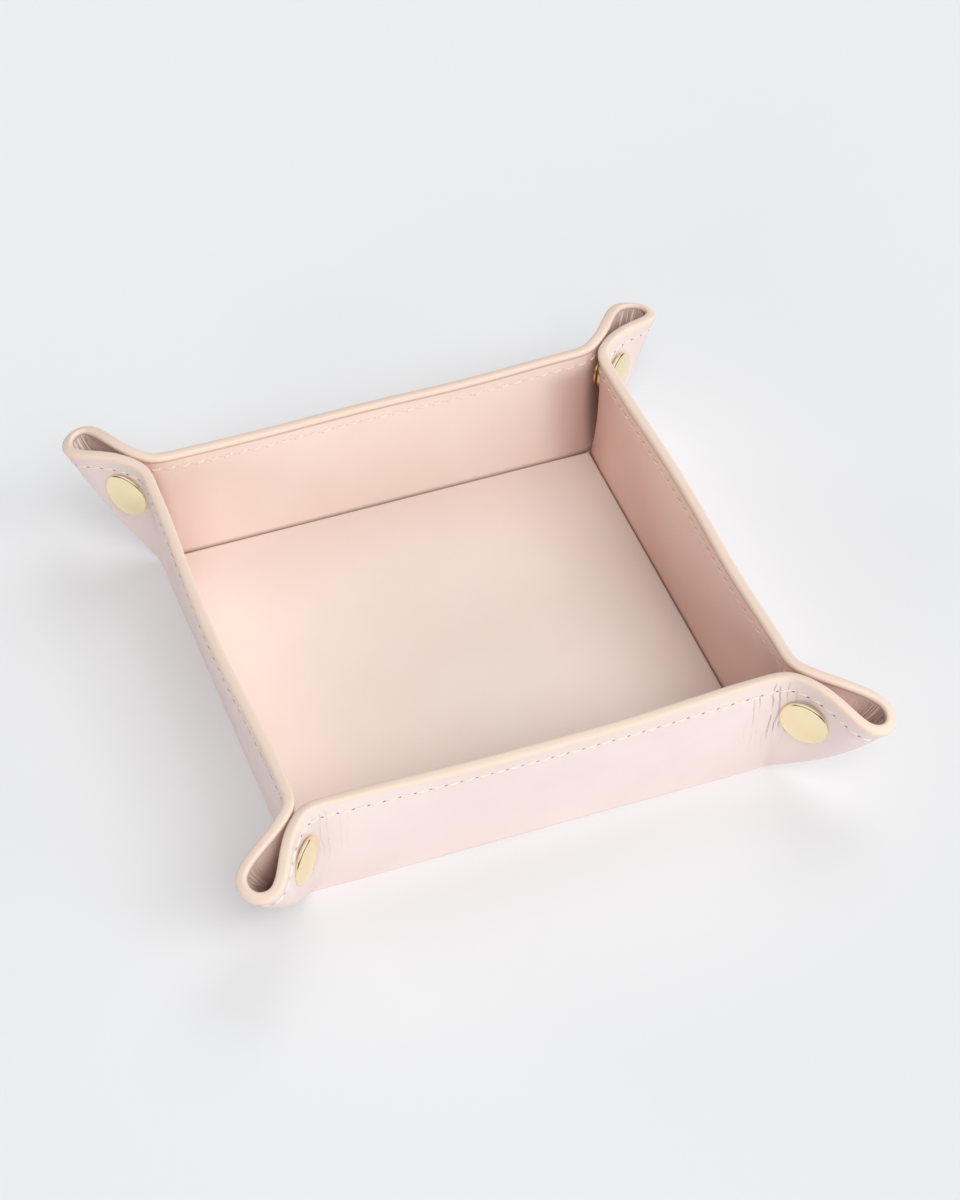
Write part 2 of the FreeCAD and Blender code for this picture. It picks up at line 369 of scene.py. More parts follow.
def seam_line(sheet, outer):
    """The line that the stitches follow on one face, its normal there and its length along."""
    depth = below_rim(sheet)
    half = sheet.thickness[:, None] / 2
    offset = half if outer else flap_step - half
    points, normals = [], []
    for row, distances in enumerate(depth):
        place = np.interp(-stitch_depth, -distances, np.arange(len(distances)))
        low = min(int(place), len(distances) - 2)
        mix = place - low
        points.append(sheet.grid[row, low] * (1 - mix) + sheet.grid[row, low + 1] * mix)
        normals.append(sheet.normal[row, low] * (1 - mix) + sheet.normal[row, low + 1] * mix)
    points, normals = np.array(points), unit(np.array(normals))
    points = points + normals * offset
    length = np.concatenate([[0], np.cumsum(np.linalg.norm(np.diff(points, axis=0), axis=1))])
    return points, normals if outer else -normals, length


def new_object(name, points, faces, material):
    mesh = bpy.data.meshes.new(name)
    mesh.from_pydata([tuple(p) for p in points], [], faces)
    mesh.materials.append(material)
    obj = bpy.data.objects.new(name, mesh)
    bpy.context.scene.collection.objects.link(obj)
    return obj


def finish_mesh(obj, sharp_degrees=45):
    mesh = obj.data
    mesh.polygons.foreach_set("use_smooth", [True] * len(mesh.polygons))
    mesh.set_sharp_from_angle(angle=math.radians(sharp_degrees))
    mesh.validate()
    mesh.update()


def set_attribute(obj, name, values):
    attribute = obj.data.attributes.new(name, "FLOAT", "POINT")
    attribute.data.foreach_set("value", np.ascontiguousarray(values, np.float32).ravel())


def end_faces(ring):
    """Triangles that close a thin ring of points, zipped up from where it starts and ends."""
    low, high, faces = 0, len(ring) - 1, []
    while high - low > 1:
        if np.linalg.norm(ring[low + 1] - ring[high]) < np.linalg.norm(ring[low] - ring[high - 1]):
            faces.append((low, low + 1, high))
            low += 1
        else:
            faces.append((low, high - 1, high))
            high -= 1
    return faces


def lofted(name, loops, turns, mirrored, material, closed=False, **attributes):
    """A closed mesh through rings of points. Attributes hold one value for each point."""
    stations, ring = loops.shape[:2]
    points = placed(loops, turns, mirrored).reshape(-1, 3)
    faces = []
    for i in range(stations if closed else stations - 1):
        near, far = i * ring, (i + 1) % stations * ring
        for j in range(ring):
            k = (j + 1) % ring
            faces.append((near + j, near + k, far + k, far + j))
    if not closed:
        last = (stations - 1) * ring
        faces.extend(face[::-1] for face in end_faces(loops[0]))
        faces.extend(tuple(last + corner for corner in face) for face in end_faces(loops[-1]))
    if not mirrored:
        faces = [face[::-1] for face in faces]
    obj = new_object(name, points, faces, material)
    for attribute, values in attributes.items():
        set_attribute(obj, attribute, values)
    finish_mesh(obj)
    return obj


# Materials
def linear(*srgb):
    """An sRGB colour of 0 to 255 as the shader wants it."""
    return tuple((c / 255 / 12.92 if c <= 10 else ((c / 255 + 0.055) / 1.055) ** 2.4) for c in srgb) + (1.0,)


def add_node(tree, kind, inputs=None, **settings):
    """A new node with its settings, and its inputs joined to sockets or set to values."""
    node = tree.nodes.new(kind)
    for key, value in settings.items():
        setattr(node, key, value)
    for key, value in (inputs or {}).items():
        if isinstance(value, bpy.types.NodeSocket):
            tree.links.new(value, node.inputs[key])
        else:
            node.inputs[key].default_value = value
    return node


class Nodes:
    """A material's node tree, with short calls to add and join nodes."""

    def __init__(self, name):
        self.material = bpy.data.materials.new(name)
        self.material.use_nodes = True
        self.tree = self.material.node_tree
        self.shader = self.tree.nodes["Principled BSDF"]

    def link(self, source, target):
        self.tree.links.new(source, target)

    def add(self, kind, inputs=None, **settings):
        return add_node(self.tree, kind, inputs, **settings)

    def math(self, operation, a, b=0.0, c=0.0):
        return self.add("ShaderNodeMath", {0: a, 1: b, 2: c}, operation=operation).outputs[0]

    def mix(self, factor, a, b):
        node = self.add("ShaderNodeMix", data_type="RGBA")
        for socket, value in (("Factor", factor), ("A", a), ("B", b)):
            target = [s for s in node.inputs if s.name == socket and s.enabled][0]
            if isinstance(value, bpy.types.NodeSocket):
                self.link(value, target)
            else:
                target.default_value = value
        return [s for s in node.outputs if s.enabled][0]

    def ramp(self, value, low, high, start=0.0, end=1.0):
        span = {"Value": value, "From Min": low, "From Max": high, "To Min": start, "To Max": end}
        return self.add("ShaderNodeMapRange", span, interpolation_type="SMOOTHSTEP").outputs[0]

    def attribute(self, name):
        return self.add("ShaderNodeAttribute", attribute_name=name).outputs["Fac"]

    def place(self):
        return self.add("ShaderNodeTexCoord").outputs["Object"]

    def noise(self, vector, scale, detail=3.0, roughness=0.55):
        node = self.add("ShaderNodeTexNoise", {"Vector": vector, "Scale": scale, "Detail": detail,
                                               "Roughness": roughness})
        return node.outputs["Fac"]

    def set(self, **values):
        for key, value in values.items():
            self.shader.inputs[key.replace("_", " ")].default_value = value


# Looks of the leather: scales are per metre, lengths in millimetres, and depths of relief in metres
edge_tan = linear(242, 210, 192)
edge_run = (0.85, 1.9)
mottle_scale = 35.0
mottle_run = (0.35, 0.7)
hole_slant = 0.8
hole_squeeze = 1.7
hole_run = (0.2, 0.46)
# Painted shade: the dark of the needle holes
hole_shade_colour = linear(74, 52, 48)
# Painted shade in the creases at the floor and at the rim's inner edge
crease_shade_strength = 0.75
crease_shade_colour = linear(124, 76, 62)
# Painted shade in the narrow corners at the walls' ends and inside the loops
shade_colour = linear(140, 70, 62)
wrinkle_spacing = 1.7
wrinkle_wave = 3.0
wrinkle_width = 0.28
wrinkle_course = (0.12, 0.16)
wrinkle_patches = (0.4, 0.12)
wrinkle_gaps = (0.4, 0.55)
# The wrinkles' tint and colour are painted shade in their grooves
wrinkle_shade_tint = 0.3
wrinkle_relief = 0.7
wrinkle_shade_colour = linear(168, 118, 108)
pleat_fineness = 1.6
pleat_length = 14.0
pleat_width = 0.1
# The pleats' tint and colour are painted shade in their folds
pleat_shade_tint = 0.4
pleat_shade_colour = linear(150, 86, 72)
cell_scale = 1500.0
cell_share = 0.5
pore_scale = 2600.0
grain_strength = 0.12
grain_depth = 0.00012
fold_depth = 0.0003
rough_scale = 160.0
rough_run = (0.3, 0.7)
leather_roughness = (0.46, 0.56)
leather_gloss = 0.42


def leather(name, colour, mottle, hole_strength):
    """Smooth fine-grained leather of two close tones, with a painted edge at the rim, needle holes and
    wrinkles. Painted shade darkens the needle holes, the creases, the wrinkles and pleats, and the narrow
    corners and loops."""
    n = Nodes(name)
    place = n.place()
    depth, phase = n.attribute("depth"), n.attribute("phase")

    def flow(along_scale, down_scale):
        """Coordinates along the seam and down from the rim, from scales per millimetre."""
        return n.add("ShaderNodeCombineXYZ", {"X": n.math("MULTIPLY", phase, along_scale * stitch_pitch),
                                              "Y": n.math("MULTIPLY", depth, down_scale)}).outputs[0]

    def pleat_lines():
        """Thin wavy lines that run down from the rim."""
        ripple = n.noise(flow(pleat_fineness, 1 / pleat_length), 1.0, detail=2.0, roughness=0.5)
        ridge = n.math("ABSOLUTE", n.math("SUBTRACT", ripple, 0.5))
        return n.ramp(ridge, 0.0, pleat_width, 1.0, 0.0)

    def wrinkle_lines():
        """Long lines down the wall, side by side, with a wavering course and gaps."""
        waver = n.math("MULTIPLY", n.noise(flow(*wrinkle_course), 1.0, detail=3.0), wrinkle_wave)
        course = n.math("MULTIPLY_ADD", phase, stitch_pitch, waver)
        near = n.math("ABSOLUTE", n.math("WRAP", course, wrinkle_spacing / 2, -wrinkle_spacing / 2))
        gaps = n.ramp(n.noise(flow(*wrinkle_patches), 1.0, detail=1.0), *wrinkle_gaps)
        return n.math("MULTIPLY", n.ramp(near, 0.0, wrinkle_width, 1.0, 0.0), gaps)

    def needle_holes():
        """Slanted slits between the stitches, painted dark as the shade in the needle holes."""
        across = n.math("SUBTRACT", depth, stitch_depth)
        along = n.math("MULTIPLY", n.math("WRAP", phase, 0.5, -0.5), stitch_pitch)
        slanted = n.math("MULTIPLY_ADD", across, hole_slant, along)
        squeezed = n.math("MULTIPLY", across, hole_squeeze)
        away = n.math("SQRT", n.math("ADD", n.math("POWER", slanted, 2.0), n.math("POWER", squeezed, 2.0)))
        return n.math("MULTIPLY", n.ramp(away, *hole_run, 1.0, 0.0), hole_strength)

    wrinkles = n.math("MULTIPLY", wrinkle_lines(), n.attribute("wrinkle"))
    pleats = n.math("MULTIPLY", pleat_lines(), n.attribute("pleat"))
    base = n.mix(n.ramp(n.noise(place, mottle_scale, detail=4.0), *mottle_run), mottle, colour)
    base = n.mix(n.ramp(depth, *edge_run, 1.0, 0.0), base, edge_tan)
    # Painted shade in the needle holes
    base = n.mix(needle_holes(), base, hole_shade_colour)
    # Painted shade in the creases
    base = n.mix(n.math("MULTIPLY", n.attribute("crease"), crease_shade_strength), base, crease_shade_colour)
    # Painted shade in the narrow corners and the loops
    base = n.mix(n.attribute("shade"), base, shade_colour)
    # Painted shade in the wrinkles
    base = n.mix(n.math("MULTIPLY", wrinkles, wrinkle_shade_tint), base, wrinkle_shade_colour)
    # Painted shade in the pleats
    base = n.mix(n.math("MULTIPLY", pleats, pleat_shade_tint), base, pleat_shade_colour)
    n.link(base, n.shader.inputs["Base Color"])

    cells = n.add("ShaderNodeTexVoronoi", {"Vector": place, "Scale": cell_scale, "Randomness": 1.0},
                  feature="SMOOTH_F1")
    pores = n.noise(place, pore_scale, detail=2.0)
    grain = n.math("ADD", n.math("MULTIPLY", cells.outputs["Distance"], cell_share), pores)
    fine = n.add("ShaderNodeBump", {"Strength": grain_strength, "Distance": grain_depth, "Height": grain})
    folds = n.math("MAXIMUM", n.math("MULTIPLY", wrinkles, wrinkle_relief), pleats)
    creased = n.add("ShaderNodeBump", {"Strength": 1.0, "Distance": fold_depth, "Normal": fine.outputs[0],
                                       "Height": n.math("SUBTRACT", 1.0, folds)})
    n.link(creased.outputs[0], n.shader.inputs["Normal"])
    rough = n.ramp(n.noise(place, rough_scale, detail=3.0), *rough_run, *leather_roughness)
    n.link(rough, n.shader.inputs["Roughness"])
    n.set(Specular_IOR_Level=leather_gloss)
    return n.material


haze_scale = 300.0
haze_run = (0.3, 0.75)
haze_roughness = 0.05


def brass(name, colour, roughness):
    """Polished pale brass with a faint haze."""
    n = Nodes(name)
    haze = n.noise(n.place(), haze_scale, detail=3.0)
    rough = n.ramp(haze, *haze_run, roughness, roughness + haze_roughness)
    n.link(rough, n.shader.inputs["Roughness"])
    n.set(Base_Color=colour, Metallic=1.0)
    return n.material


thread_tones = (linear(255, 238, 224), linear(240, 208, 186))
fleck_scale = 3500.0
twist_scale = 1100.0
twist_waver = 1.5
twist_strength = 0.4
twist_depth = 0.0001


def thread(name):
    """Twisted sewing thread."""
    n = Nodes(name)
    place = n.place()
    base = n.mix(n.noise(place, fleck_scale, detail=2.0), *thread_tones)
    n.link(base, n.shader.inputs["Base Color"])
    twist = n.add("ShaderNodeTexWave", {"Vector": place, "Scale": twist_scale, "Distortion": twist_waver},
                  bands_direction="DIAGONAL")
    bump = n.add("ShaderNodeBump", {"Strength": twist_strength, "Distance": twist_depth,
                                    "Height": twist.outputs["Fac"]})
    n.link(bump.outputs[0], n.shader.inputs["Normal"])
    n.set(Roughness=0.6, Sheen_Weight=0.2)
    return n.material


board_tones = (linear(150, 132, 112), linear(182, 164, 142))
board_scale = 900.0


def board(name):
    """Grey-brown millboard."""
    n = Nodes(name)
    base = n.mix(n.noise(n.place(), board_scale, detail=4.0), *board_tones)
    n.link(base, n.shader.inputs["Base Color"])
    n.set(Roughness=0.85)
    return n.material


# How dark the needle holes show, as painted shade in the holes
cover_holes = 0.9
lining_holes = 0.15
floor_holes = 0.0

cover_leather = leather("cover_leather", linear(236, 214, 208), linear(233, 209, 203), cover_holes)
lining_leather = leather("lining_leather", linear(241, 211, 198), linear(239, 207, 193), lining_holes)
# Lit and shaded copies of the lining: the right wall's is rosier and darker as painted shade, the back wall's
# less rosy and a little lighter as painted light
shaded_right_lining = leather("right_lining_shaded_leather", linear(242, 206, 193), linear(240, 202, 188), lining_holes)
lit_back_lining = leather("back_lining_lit_leather", linear(239, 214, 202), linear(237, 210, 197), lining_holes)
lit_and_shaded_wall_linings = {"right": shaded_right_lining, "back": lit_back_lining}
floor_leather = leather("floor_leather", linear(242, 217, 206), linear(240, 214, 202), floor_holes)
snap_brass = brass("snap_brass", linear(255, 239, 198), 0.16)
dull_brass = brass("dull_brass", linear(240, 212, 158), 0.28)
seam_thread = thread("seam_thread")
mill_board = board("mill_board")


# Leather pieces
def seam_phase(length, full_length):
    """Place along the seam in stitches, counted from the middle of the wall."""
    return length / full_length * round(full_length / stitch_pitch)


# How wrinkled the outside is at a wall's end, and where along it and below the rim
wrinkle_strengths = {"front_right": 1.0, "front_left": 0.4, "left_back": 0.4, "left_front": 0.3,
                     "right_front": 0.3, "right_back": 0.4, "back_right": 0.3, "back_left": 0.3}
wrinkle_place = 2.6
wrinkle_reach = 1.4
wrinkle_top = (1.2, 2.5)
wrinkle_bottom = (13.0, 25.0)
# Where the lining is pleated: along the end and below the rim
pleat_run = (6.0, 8.5)
pleat_top = (1.2, 2.2)
# Painted shade on the lining: how dark it is painted in the narrow corner at a wall's end and inside the
# loops, and where it darkens
end_shades = {"back_right": 0.5, "right_front": 0.25, "right_back": 0.2}
other_shade = 0.15
loop_shades = {"front_left": 0.45, "left_front": 0.3}
other_loop_shade = 0.0
shade_run = (-1.5, 3.2)
loop_shade_run = (5.0, 7.0)
shade_top = (2.0, 9.0)


def leather_piece(name, sheet, loops_of, turns, mirrored, material, phase, places, wrinkled, shaded, loop_shaded):
    """One leather of a panel. Places count along a wall's end, and the last three arguments tell how wrinkled
    the stations are, and how dark they are painted as shade beside the corner and in the loop."""
    loops, depths, creases = loops_of(sheet)
    wrinkle, pleat, shade = np.zeros(depths.shape), np.zeros(depths.shape), np.zeros(depths.shape)
    if loops_of is cover_loops:
        bend = wrinkled * np.exp(-((places - wrinkle_place) / wrinkle_reach) ** 2)
        wrinkle = bend[:, None] * smooth(depths, *wrinkle_top) * (1 - smooth(depths, *wrinkle_bottom))
    else:
        pleat = smooth(places, *pleat_run)[:, None] * smooth(depths, *pleat_top)
        dark = np.maximum(shaded * smooth(places, *shade_run), loop_shaded * smooth(places, *loop_shade_run))
        shade = dark[:, None] * smooth(depths, *shade_top)
    phases = np.repeat(phase[:, None], loops.shape[1], axis=1)
    return lofted(name, loops, turns, mirrored, material, depth=depths, phase=phases, crease=creases,
                  wrinkle=wrinkle, pleat=pleat, shade=shade)


class Seam:
    """The line of stitches on one face of a wall, from the end of its left loop to the end of its right loop.
    Its phase counts stitches from the middle of the wall."""

    def __init__(self, panel, ends, outer):
        points, normals, length = seam_line(panel, outer)
        half = length[-1] / 2
        left_points, left_normals, left_length = seam_line(ends[True], outer)
        right_points, right_normals, right_length = seam_line(ends[False], outer)
        left_phase = seam_phase(half + left_length, half + left_length[-1])
        right_phase = seam_phase(half + right_length, half + right_length[-1])
        left_share, right_share = left_phase[0] / half, right_phase[0] / half
        middle = length - half
        panel_phase = middle * np.where(middle < 0, left_share, right_share)
        self.points = np.concatenate([(left_points * mirror_x)[:0:-1], points, right_points[1:]])
        self.normals = np.concatenate([(left_normals * mirror_x)[:0:-1], normals, right_normals[1:]])
        self.phase = np.concatenate([-left_phase[:0:-1], panel_phase, right_phase[1:]])
        self.parts = {"panel": panel_phase, True: left_phase, False: right_phase}

    def sample(self, phase):
        """Points, normals and the direction along the seam."""
        points = np.stack([np.interp(phase, self.phase, self.points[:, k]) for k in range(3)], -1)
        normals = unit(np.stack([np.interp(phase, self.phase, self.normals[:, k]) for k in range(3)], -1))
        return points, normals, unit(np.gradient(points, axis=0))


thread_share = np.linspace(-1, 1, 9)
thread_angles = np.linspace(0, 2 * math.pi, 8, endpoint=False)
thread_taper = 0.8
thread_flatness = 0.8
thread_sharp = 60


def stitches(name, seam, low, high, turns, length, thread_rise):
    """Threads lying on the leather from one needle hole to the next."""
    rings, faces = [], []
    sides = len(thread_angles)
    for number in range(math.ceil(low - 0.5), math.floor(high - 0.5) + 1):
        reach = length / stitch_pitch / 2
        centre, normal, tangent = seam.sample(number + 0.5 + thread_share * reach)
        across = np.cross(normal, tangent)
        centre = centre + normal * (thread_rise - thread_dip * thread_share ** 4)[:, None]
        centre = centre + across * (thread_share * stitch_slant)[:, None]
        radius = thread_radius * np.sqrt(1 - thread_taper * thread_share ** 6)[:, None, None]
        turn = (np.cos(thread_angles)[None, :, None] * across[:, None]
                + thread_flatness * np.sin(thread_angles)[None, :, None] * normal[:, None])
        start = len(rings) * sides
        rings.extend(centre[:, None] + radius * turn)
        for i in range(len(thread_share) - 1):
            near, far = start + i * sides, start + (i + 1) * sides
            for j in range(sides):
                k = (j + 1) % sides
                faces.append((near + j, near + k, far + k, far + j))
        faces.append(tuple(start + j for j in reversed(range(sides))))
        faces.append(tuple(start + (len(thread_share) - 1) * sides + j for j in range(sides)))
    obj = new_object(name, placed(np.concatenate(rings), turns, False), faces, seam_thread)
    finish_mesh(obj, thread_sharp)
    return obj


def blended(obj, bodies, start, end, turns, mirrored):
    """Bakes a piece's transform into its mesh. The two places of the front wall's right half are worked out
    but not used, and the piece is not blended from one body to another.
    """
    start, end = placed([start, end], turns, mirrored)
    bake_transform(obj)


# Where the leather bends: across the ear's hinge beside the wall, across the tip's hinge in the loop, and
# over the fold at the wall's foot. The hinges are places and directions (out, side, height) across them.
ear_hinge, ear_across = np.array([1.148, 1.35, 18.1]), np.array([0.987, 0.0, -0.159])
tip_hinge, tip_across = np.array([19.0, 4.03, 20.3]), np.array([0.646, -0.566, -0.512])
low_rows = 5
ear_bend_width = 4.2
# How wide the bend past the tip's hinge is at each corner
tip_bend_widths = {"front_right": 10.5, "right_back": 7.0, "back_left": 1.7, "left_front": 7.0}
cover_fold = ((0, -59.2, 0.2), (0, -60.8, 2.6))
lining_fold = ((0, -58.0, 2.1), (0, -58.4, 4.3))


def bend_span(sheet, station, hinge, across, width):
    """Where a bend across a hinge starts and ends, so that a station of a wall's end keeps still on both of
    its faces."""
    place = corner_point(*hinge)
    way = unit(corner_point(*(hinge + across)) - place)
    reach = (sheet.grid[station, low_rows:] - place) @ way
    half = np.abs(sheet.normal[station, low_rows:] @ way) * sheet.thickness[station] / 2
    start = (reach + half).max()
    return place + start * way, place + (start + width) * way


def panel_end(places):
    """Number of the station of a wall's end up to which it belongs to the wall's panel."""
    return int(np.argmin(np.abs(places - panel_place)))


def joined(panel, ends, end_places):
    """The wall's sheet with the first stations of both its ends."""
    last = {side: panel_end(places) for side, places in end_places.items()}
    left, right = (ends[side].trimmed(slice(1, last[side] + 1)) for side in (True, False))
    whole = panel.trimmed(slice(None))
    for field in ("grid", "normal", "up"):
        whole_field = (getattr(left, field)[::-1] * mirror_x, getattr(panel, field), getattr(right, field))
        setattr(whole, field, np.concatenate(whole_field))
    whole.thickness = np.concatenate([left.thickness[::-1], panel.thickness, right.thickness])
    return whole


def dress_wall(turns, wall):
    """The cover, lining and seam of one wall and of its two corner halves."""
    body = wall + "_wall"
    others, corners, ends, end_places = {}, {}, {}, {}
    for mirrored, step in ((False, 1), (True, -1)):
        others[mirrored] = other = wall_names[(turns + step) % len(wall_names)]
        corners[mirrored] = other + "_" + wall if mirrored else wall + "_" + other
        ends[mirrored], end_places[mirrored] = corner_sheet(corners[mirrored], not mirrored)
    panel = wall_sheet(wall, corners[True], corners[False])
    whole = joined(panel, ends, end_places)
    middle = (np.abs(panel.grid[:, 0, 0]) - wall_seam) / (wall_run_back[0] - wall_run_back[1])
    reach = {side: slice(1, panel_end(places) + 1) for side, places in end_places.items()}
    whole_places = np.concatenate([end_places[True][reach[True]][::-1], middle,
                                   end_places[False][reach[False]]])
    on_left = np.arange(len(whole_places)) < len(whole_places) // 2
    left_end, right_end = f"{wall}_{others[True]}", f"{wall}_{others[False]}"
    wrinkled = np.where(on_left, wrinkle_strengths[left_end], wrinkle_strengths[right_end])
    left_shade, right_shade = (end_shades.get(end, other_shade) for end in (left_end, right_end))
    shaded = np.where(on_left, left_shade, right_shade)
    core = lofted(f"{wall}_wall_core", board_loops(panel), turns, False, mill_board)
    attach(core, body)
    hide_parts(f"{wall}_wall_board")
    for layer, loops_of, material in (("cover", cover_loops, cover_leather),
                                      ("lining", lining_loops, lit_and_shaded_wall_linings.get(wall, lining_leather))):
        outer = layer == "cover"
        seam = Seam(panel, ends, outer)
        phase = np.concatenate([-seam.parts[True][reach[True]][::-1], seam.parts["panel"],
                                seam.parts[False][reach[False]]])
        piece = leather_piece(f"{wall}_wall_{layer}_leather", whole, loops_of, turns, False, material, phase,
                              whole_places, wrinkled, shaded, 0.0)
        blended(piece, ("base", body), *(cover_fold if outer else lining_fold), turns, False)
        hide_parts(f"{wall}_wall_{layer}")
        sewn = stitches(f"{wall}_wall_{layer}_seam", seam, phase[0], phase[-1], turns, stitch_lengths[layer],
                        stitch_rises[layer])
        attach(sewn, body)
        for mirrored, other in others.items():
            dress_end(wall, other, turns, mirrored, layer, loops_of, material, ends[mirrored],
                      end_places[mirrored], seam)


def dress_end(wall, other, turns, mirrored, layer, loops_of, material, sheet, places, seam):
    """One leather and its seam at a wall's end: the bend beside the snap and the loop."""
    end = f"{wall}_{other}"
    body, ear, tip = wall + "_wall", end + "_ear", end + "_tip"
    phase = seam.parts[mirrored]
    split = int(np.argmin(np.abs(places - seam_place)))
    begin = panel_end(places)
    corner = f"{other}_{wall}" if mirrored else end
    ear_bend = bend_span(sheet, begin, ear_hinge, ear_across, ear_bend_width)
    tip_bend = bend_span(sheet, split, tip_hinge, tip_across, tip_bend_widths[corner])
    parts = (("bend", slice(begin, split + 1), (body, ear), ear_bend, f"{ear}_{layer}"),
             ("loop", slice(split, len(places)), (ear, tip), tip_bend, tip))
    for part, span, bodies, fold, node in parts:
        name = f"{end}_{part}_{layer}"
        piece = leather_piece(name + "_leather", sheet.trimmed(span), loops_of, turns, mirrored,
                              material, phase[span], places[span], wrinkle_strengths[end],
                              end_shades.get(end, other_shade), loop_shades.get(end, other_loop_shade))
        blended(piece, bodies, *fold, turns, mirrored)
        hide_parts(node)
        low, high = sorted((phase[span][[0, -1]] * (-1 if mirrored else 1)).tolist())
        rise = buried_rise if (part, layer) == ("loop", "lining") else stitch_rises[layer]
        sewn = stitches(name + "_seam", seam, low, high, turns, stitch_lengths[layer], rise)
        blended(sewn, bodies, *fold, turns, mirrored)


for wall_turns, wall_name in enumerate(wall_names):
    dress_wall(wall_turns, wall_name)


# Base
base_edge = wall_middle(foot_height)
floor_roll = 0.7
floor_drop = 0.55
floor_overlap = 0.25
# The floor's edge is painted dark along its crease with the walls, as shade
floor_crease_shade = (0.1, 0.5)
skirt_width = 1.25
skirt_thickness = 0.05
slab_inset = np.array([0, 0.15, 0.35, 0.6, 0.9, 1.4, 2.5, 5.0, 10.0])
slab_margin = 16
slab_stations = 25


def square_slab(name, half, low, top_of, crease_shade_of, material, skirt=0.0):
    """A square sheet with a worked top: its height and the painted shade of its creases are given by the
    distance to the edge. A thin skirt can run on round it."""
    inset = slab_inset
    if skirt:
        half = half + skirt
        inset = np.concatenate([[0, skirt - skirt_thickness], skirt + inset])
    middle = np.linspace(-half + slab_margin, half - slab_margin, slab_stations)
    side = np.concatenate([-half + inset, middle, (half - inset)[::-1]])
    x, y = np.meshgrid(side, side, indexing="ij")
    edge = half - skirt - np.maximum(np.abs(x), np.abs(y))
    on_skirt = edge < -skirt_thickness / 2
    top = np.stack([x, y, np.where(on_skirt, low + skirt_thickness, top_of(edge))], -1).reshape(-1, 3)
    bottom = np.stack([x, y, np.full(x.shape, low)], -1).reshape(-1, 3)
    count = len(side)
    number = np.arange(count * count).reshape(count, count)
    faces = []
    for i in range(count - 1):
        for j in range(count - 1):
            quad = (number[i, j], number[i + 1, j], number[i + 1, j + 1], number[i, j + 1])
            faces.append(tuple(int(q) for q in quad))
            faces.append(tuple(int(q) + count * count for q in quad[::-1]))
    border = np.concatenate([number[:-1, 0], number[-1, :-1], number[:0:-1, -1], number[0, :0:-1]])
    for a, b in zip(border, np.roll(border, -1)):
        faces.append((int(b), int(a), int(a) + count * count, int(b) + count * count))
    points = np.concatenate([top, bottom]) * metres
    obj = new_object(name, points, faces, material)
    set_attribute(obj, "depth", np.full(len(points), tray_height))
    crease = np.where(on_skirt, 0, crease_shade_of(edge))
    set_attribute(obj, "crease", np.concatenate([crease.ravel(), np.zeros(edge.size)]))
    finish_mesh(obj)
    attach(obj, "base")
    return obj


base_cover = square_slab("base_cover_leather", base_edge, 0,
                         lambda edge: np.full(edge.shape, leather_thickness), np.zeros_like, cover_leather)
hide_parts("base_cover")
base_lining = square_slab("base_lining_leather", floor_half + floor_overlap,
                          base_thickness - leather_thickness,
                          lambda edge: base_thickness - floor_drop * (1 - smooth(edge, 0, floor_roll)) ** 2,
                          lambda edge: 1 - smooth(edge, *floor_crease_shade), floor_leather, skirt_width)
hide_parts("base_lining")


# Snaps
def rounded_edge(radius, side, inward, roll, steps=6):
    """A rolled edge of a turned piece, from its side wall onto its face."""
    angles = np.linspace(0, math.pi / 2, steps)
    return [(radius - roll + roll * math.cos(a), side + inward * roll * (math.sin(a) - 1)) for a in angles]


snap_share = (snap_height - foot_height) / (rim_height - foot_height)
turned_sides = 72


def turned_piece(name, profile, corner, turns, first, material, body, node):
    """A round piece on the snap's axis, from the (radius, side) pairs of its closed section."""
    angles = np.linspace(0, 2 * math.pi, turned_sides, endpoint=False)[:, None]
    radius, side = np.array(profile).T[:, None]
    local = np.stack(np.broadcast_arrays(snap_out + radius * np.cos(angles), side,
                                         snap_height + radius * np.sin(angles)), -1)
    points = corner_point(*np.moveaxis(leaned(local, corner, first), -1, 0))
    points = points + corner_move(corner, first, snap_share)
    obj = lofted(name, points, turns, not first, material, closed=True)
    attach(obj, body)
    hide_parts(node)


# Turned pieces: the rivets of cap and post run through the leather into the bores of socket and stud
axis_radius = 0.02
rivet_radius = 1.9
bore_radius = 1.98
rivet_end = 0.35

cap_radius = 6.25
cap_rise = 1.7
cap_edge = 1.0
cap_roll = 0.55
cap_lip = 0.25
cap_sink = 0.05
cap_crown = np.linspace(0.96, 0, 14)


def cap_profile():
    """Polished cap: rolled edge, a faint step and a low crown, with its rivet through the leather."""
    base, crown, rivet = ear_cover_side, ear_cover_side + cap_rise, ear_lining_side - rivet_end
    profile = [(axis_radius, rivet), (rivet_radius, rivet), (rivet_radius, base),
               (cap_radius - cap_lip, base - cap_sink)]
    profile += rounded_edge(cap_radius, base + cap_edge, 1, cap_roll)
    inner = cap_radius - cap_roll
    for share in cap_crown:
        profile.append((max(inner * share, axis_radius), crown - (cap_rise - cap_edge) * share ** 2))
    return profile


socket_radius = 4.6
socket_depth = 1.5
socket_roll = 0.4
socket_mouth = 3.0
socket_chamfer = 0.2


def socket_profile():
    """Socket under the cap: a ring whose mouth takes the stud."""
    face, floor = ear_lining_side - socket_depth, ear_lining_side - rivet_end
    mouth = [(bore_radius, ear_lining_side), (bore_radius, floor), (socket_mouth, floor),
             (socket_mouth, face + socket_chamfer), (socket_mouth + socket_chamfer, face)]
    rim = rounded_edge(socket_radius, face, -1, socket_roll)[::-1]
    return mouth + rim + [(socket_radius, ear_lining_side)]


stud_radius = 3.9
stud_flange = 0.7
stud_roll = 0.3
stud_reach = 2.1
stud_head = 2.7
stud_head_roll = 0.5
stud_neck = 2.3
stud_foot = 2.5
stud_foot_rise = 0.25


